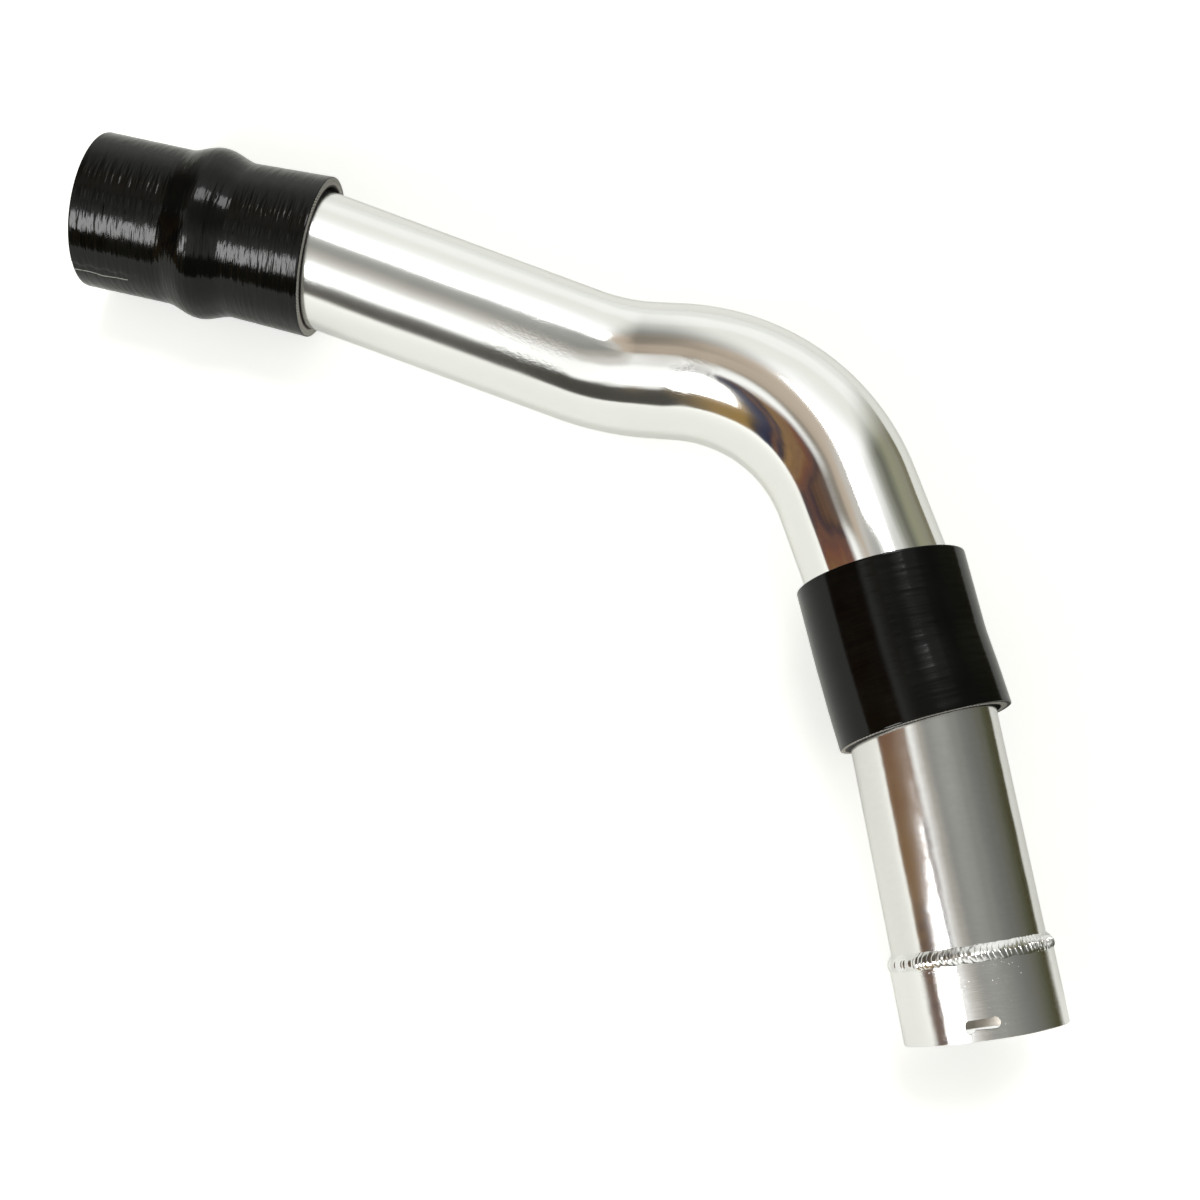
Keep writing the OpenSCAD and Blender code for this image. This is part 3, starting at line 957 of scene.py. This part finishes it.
# Things beside the camera, by turn: the band that they fill goes from the floor up to its edge
THINGS = [(-168, (0.03, 0.028, 0.03)), (-166, (0.22, 0.11, 0.05)), (-165, (0.02, 0.025, 0.055)),
          (-163.6, (0.28, 0.14, 0.05)), (-162.8, (0.025, 0.022, 0.025)), (-161.2, (0.02, 0.023, 0.05)),
          (-160.4, (0.24, 0.11, 0.05)), (-159.4, (0.02, 0.023, 0.05)), (-158.4, (0.32, 0.11, 0.045)),
          (-157.6, (0.03, 0.025, 0.03)), (-156.8, (0.30, 0.16, 0.06)), (-156, (0.32, 0.19, 0.08)),
          (-155.4, (0.025, 0.025, 0.06)), (-154.7, (0.30, 0.17, 0.07)), (-153.7, (0.32, 0.18, 0.07)),
          (-153.2, (0.03, 0.028, 0.035)), (-152.4, (0.32, 0.18, 0.07)), (-150.8, (0.30, 0.18, 0.075)),
          (-149.4, (0.03, 0.025, 0.03)), (-147.8, (0.02, 0.028, 0.07)), (-146.4, (0.22, 0.11, 0.045)),
          (-144.8, (0.018, 0.02, 0.045)), (-141, (0.03, 0.035, 0.075)), (-138.5, (0.07, 0.05, 0.04)),
          (-135, (0.31, 0.195, 0.06)), (-122, (0.29, 0.19, 0.075)), (-112, (0.19, 0.145, 0.085)),
          (-104, (0.075, 0.07, 0.06)), (-90, (0.055, 0.052, 0.042)), (-60, (0.10, 0.10, 0.08))]
# How high the things reach in degrees, and how that changes from one turn to another
THINGS_TALL = 24.0
THINGS_STEPS = ((-134.0, -140.0, 26.0), (-147.0, -150.0, -5.0))
# The room's outlines waver by this many degrees, so that no edge of it is straight
WAVER = 14.0


def by_height(nt, up, stops):
    return ramp(nt, up, [((el + 90) / 180, c) for el, c in stops], "EASE")


def things(nt, turn, height, wave):
    """Colour of the things beside the camera, and 1 where they stand."""
    share = times_plus(nt, plus(nt, turn, times(nt, wave, 0.5)), 1 / 180, 1.0)
    colour = ramp(nt, share, [((t + 180) / 180, c) for t, c in THINGS])
    tall = THINGS_TALL
    for start, stop, change in THINGS_STEPS:
        tall = times_plus(nt, between(nt, turn, start, stop), change, tall)
    over = maths(nt, "SUBTRACT", height, tall)
    return colour, times(nt, between(nt, height, -7.0, -2.5), between(nt, over, 4.0, -3.0))


def make_world():
    world = bpy.data.worlds.new("room")
    bpy.context.scene.world = world
    world.use_nodes = True
    nt = world.node_tree
    nt.nodes.clear()
    out = nt.nodes.new("ShaderNodeOutputWorld")
    way = node(nt, "ShaderNodeTexCoord").outputs["Generated"]
    x, y, z = node(nt, "ShaderNodeSeparateXYZ", {0: way}).outputs[:3]
    wave = times_plus(nt, noise(nt, way, 4.5, 2.0), WAVER, -WAVER / 2)
    height = times_plus(nt, maths(nt, "ARCSINE", z), 180 / math.pi, wave)
    turn = times(nt, maths(nt, "ARCTAN2", y, x), 180 / math.pi)
    up = times_plus(nt, height, 1 / 180, 0.5)
    sides = (FAR, FAR_RIGHT, RIGHT, NEAR, BEHIND)
    far, far_right, right, bare, behind = (by_height(nt, up, stops) for stops in sides)
    colour, standing = things(nt, turn, height, wave)
    near = blend(nt, standing, bare, colour)
    room = behind
    # Each side takes over from the one before between two turns
    for start, stop, side in (
        (150.0, 112.0, far),
        (76.0, 58.0, far_right),
        (50.0, 38.0, right),
        (-20.0, -80.0, near),
        (-162.0, -170.0, behind),
    ):
        room = blend(nt, between(nt, turn, start, stop), room, side)
    seen = node(nt, "ShaderNodeLightPath").outputs["Is Camera Ray"]
    white = blend(nt, seen, room, (1, 1, 1))
    back = node(nt, "ShaderNodeBackground", {"Color": white, "Strength": 1.0})
    nt.links.new(back.outputs[0], out.inputs[0])


make_world()


# Lamps: one soft box at the camera's left, one high up on the far side
PART_MIDDLE = Vector((0.38, -0.04, 0.04))
NEAR_LAMP_AT, NEAR_LAMP_TO = Vector((-0.344, -1.055, 0.76)), Vector((0.25, -0.08, 0.04))
FAR_LAMP_TURN, FAR_LAMP_HEIGHT, FAR_LAMP_AWAY = 105, 71.5, 4.0


def soft_box(name, at, to, wide, tall, radiance):
    """A rectangular lamp of the given radiance, unseen by the camera itself."""
    data = bpy.data.lights.new(name, "AREA")
    data.shape = "RECTANGLE"
    data.size, data.size_y = wide, tall
    data.energy = radiance * math.pi * wide * tall
    look = (to - at).to_track_quat("-Z", "Y").to_matrix().to_4x4()
    put(name, data, Matrix.Translation(at) @ look).visible_camera = False


def from_part(turn, height, away):
    """A point seen from the part's middle in a direction given by its turn and height in degrees."""
    c = math.cos(rad(height))
    way = Vector((c * math.cos(rad(turn)), c * math.sin(rad(turn)), math.sin(rad(height))))
    return PART_MIDDLE + away * way


FAR_LAMP_AT = from_part(FAR_LAMP_TURN, FAR_LAMP_HEIGHT, FAR_LAMP_AWAY)
soft_box("near_soft_box", NEAR_LAMP_AT, NEAR_LAMP_TO, 0.40, 0.56, 12.4)
soft_box("far_soft_box", FAR_LAMP_AT, PART_MIDDLE, 1.66, 0.98, 7.3)

view = bpy.context.scene.view_settings
view.view_transform = "Standard"
